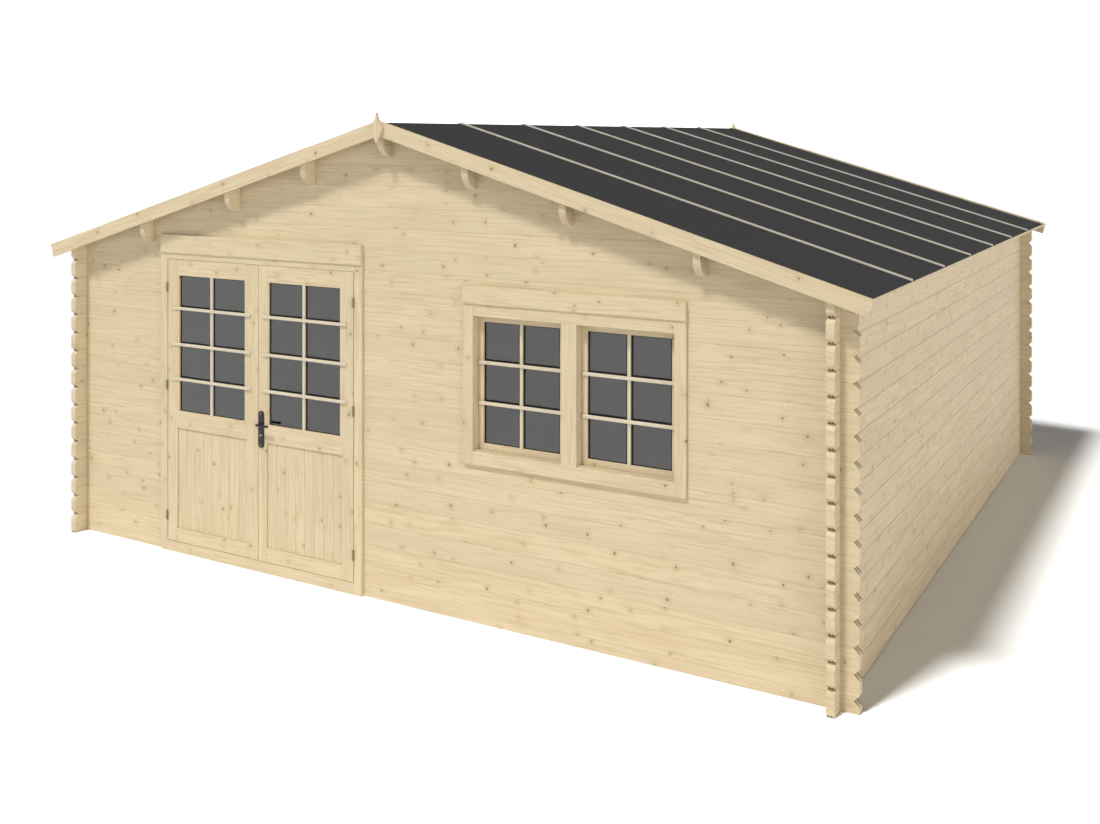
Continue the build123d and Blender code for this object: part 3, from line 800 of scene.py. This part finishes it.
dark_metal = metal("dark_handle_metal", (0.035, 0.034, 0.036, 1.0), 0.38, 0.6)
bright_metal = metal("lock_brass", (0.42, 0.38, 0.3, 1.0), 0.3, 1.0)
zinc = metal("yellow_zinc", (0.3, 0.22, 0.11, 1.0), 0.34, 1.0)
plates_low, plates_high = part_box("door_handle_plates")
lever_low, lever_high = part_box("door_lever")
leaf_low, leaf_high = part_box("right_door_frame")
plate_radius = (plates_high.x - plates_low.x) / 2
plate_edge = 0.0025
half_round_steps = 24
handle_x = (plates_high.x + plates_low.x) / 2
handle_z = (lever_high.z + lever_low.z) / 2
bm = bmesh.new()
for outer, inner in ((plates_low.y, leaf_low.y), (plates_high.y, leaf_high.y)):
    outline = []
    for end_z, start in ((plates_high.z - plate_radius, 0), (plates_low.z + plate_radius, 1)):
        for step in range(half_round_steps + 1):
            turn = math.pi * (start + step / half_round_steps)
            outline.append((handle_x + plate_radius * math.cos(turn), outer,
                            end_z + plate_radius * math.sin(turn)))
    top = bm.faces.new([bm.verts.new(point) for point in outline])
    grown = bmesh.ops.extrude_face_region(bm, geom=[top])["geom"]
    bmesh.ops.translate(bm, verts=only_verts(grown), vec=(0.0, inner - outer, 0.0))
    rim = [edge for edge in bm.edges if all(abs(v.co.y - outer) < 1e-6 for v in edge.verts)]
    bevel_edges(bm, rim, plate_edge, 3)
bmesh.ops.recalc_face_normals(bm, faces=bm.faces[:])
smooth_piece(finish_mesh(bm, "handle_plates", "right_door_leaf", dark_metal,
                         ["door_handle_plates"]))


round_sides = 32


def add_round(bm, centre, direction, radius, length):
    turn = direction.to_track_quat("Z", "Y").to_matrix().to_4x4()
    bmesh.ops.create_cone(bm, cap_ends=True, segments=round_sides, radius1=radius, radius2=radius,
                          depth=length, matrix=Matrix.Translation(centre) @ turn)


cylinder_height, cylinder_radius = 0.93, 0.0085
screw_heights, screw_radius = (1.074, 0.862), 0.004
bm = bmesh.new()
for plate_face, way in ((plates_low.y, -1), (plates_high.y, 1)):
    add_round(bm, (handle_x, plate_face + way * 0.001, cylinder_height), axis_y, cylinder_radius, 0.0018)
    for z in screw_heights:
        add_round(bm, (handle_x, plate_face + way * 0.0005, z), axis_y, screw_radius, 0.0012)
smooth_piece(finish_mesh(bm, "lock_cylinder_and_screws", "right_door_leaf", bright_metal))
rose_radius, neck_radius = 0.0125, 0.0075
lever_height, lever_thickness, lever_edge = 0.0155, 0.015, 0.0055
bm = bmesh.new()
for outer, face, way in ((lever_low.y, plates_low.y, -1), (lever_high.y, plates_high.y, 1)):
    add_round(bm, (handle_x, face + way * 0.0035, handle_z), axis_y, rose_radius, 0.006)
    neck_end = outer - way * 0.004
    add_round(bm, (handle_x, (neck_end + face) / 2, handle_z), axis_y, neck_radius, abs(neck_end - face))
    near, far = sorted((outer, outer - way * lever_thickness))
    corners = add_block(bm, (handle_x - neck_radius, near, handle_z - lever_height / 2),
                        (lever_high.x, far, handle_z + lever_height / 2))
    bevel_edges(bm, edges_of(corners), lever_edge, 4)
smooth_piece(finish_mesh(bm, "lever_pair", "door_handle", dark_metal, ["door_lever"]))


# Hinges: three on each leaf, yellow zinc steel. The lower knuckle stays with the frame and the upper
# one turns with the leaf; thin plates run back into the joint.
hinge_halves = (("door_hinge_pins", "cabin", "hinge_frame_halves"),
                ("left_door_hinge_leaves", "left_door_leaf", "left_hinge_halves"),
                ("right_door_hinge_leaves", "right_door_leaf", "right_hinge_halves"))
hinges_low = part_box("left_door_hinge_leaves")[0]
hinges_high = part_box("right_door_hinge_leaves")[1]
hinge_heights = (0.254, 1.18, 1.877)
knuckle_radius, knuckle_inset = 0.007, 0.0004
hinge_reach, knuckle_gap = 0.033, 0.001
plate_depth, plate_thickness = 0.024, 0.002
hinge_y = hinges_low.y + knuckle_radius
hinge_x = {"left": hinges_low.x + knuckle_radius, "right": hinges_high.x - knuckle_radius}
for node, body, name in hinge_halves:
    bm = bmesh.new()
    for z in hinge_heights:
        for hand in ("left", "right"):
            if body != "cabin" and not body.startswith(hand):
                continue
            x = hinge_x[hand]
            way = 1 if (hand == "left") != (body == "cabin") else -1
            if body == "cabin":
                low_z, high_z = z - hinge_reach, z - knuckle_gap / 2
            else:
                low_z, high_z = z + knuckle_gap / 2, z + hinge_reach
            add_round(bm, (x, hinge_y, (low_z + high_z) / 2), axis_z, knuckle_radius - knuckle_inset,
                      high_z - low_z)
            x0, x1 = sorted((x + way * knuckle_inset, x + way * (knuckle_inset + plate_thickness)))
            add_block(bm, (x0, hinge_y, low_z), (x1, leaf_low.y, high_z))
            add_block(bm, (x0, leaf_low.y, z - hinge_reach), (x1, leaf_low.y + plate_depth, z + hinge_reach))
    smooth_piece(finish_mesh(bm, name, body, zinc, [node]))
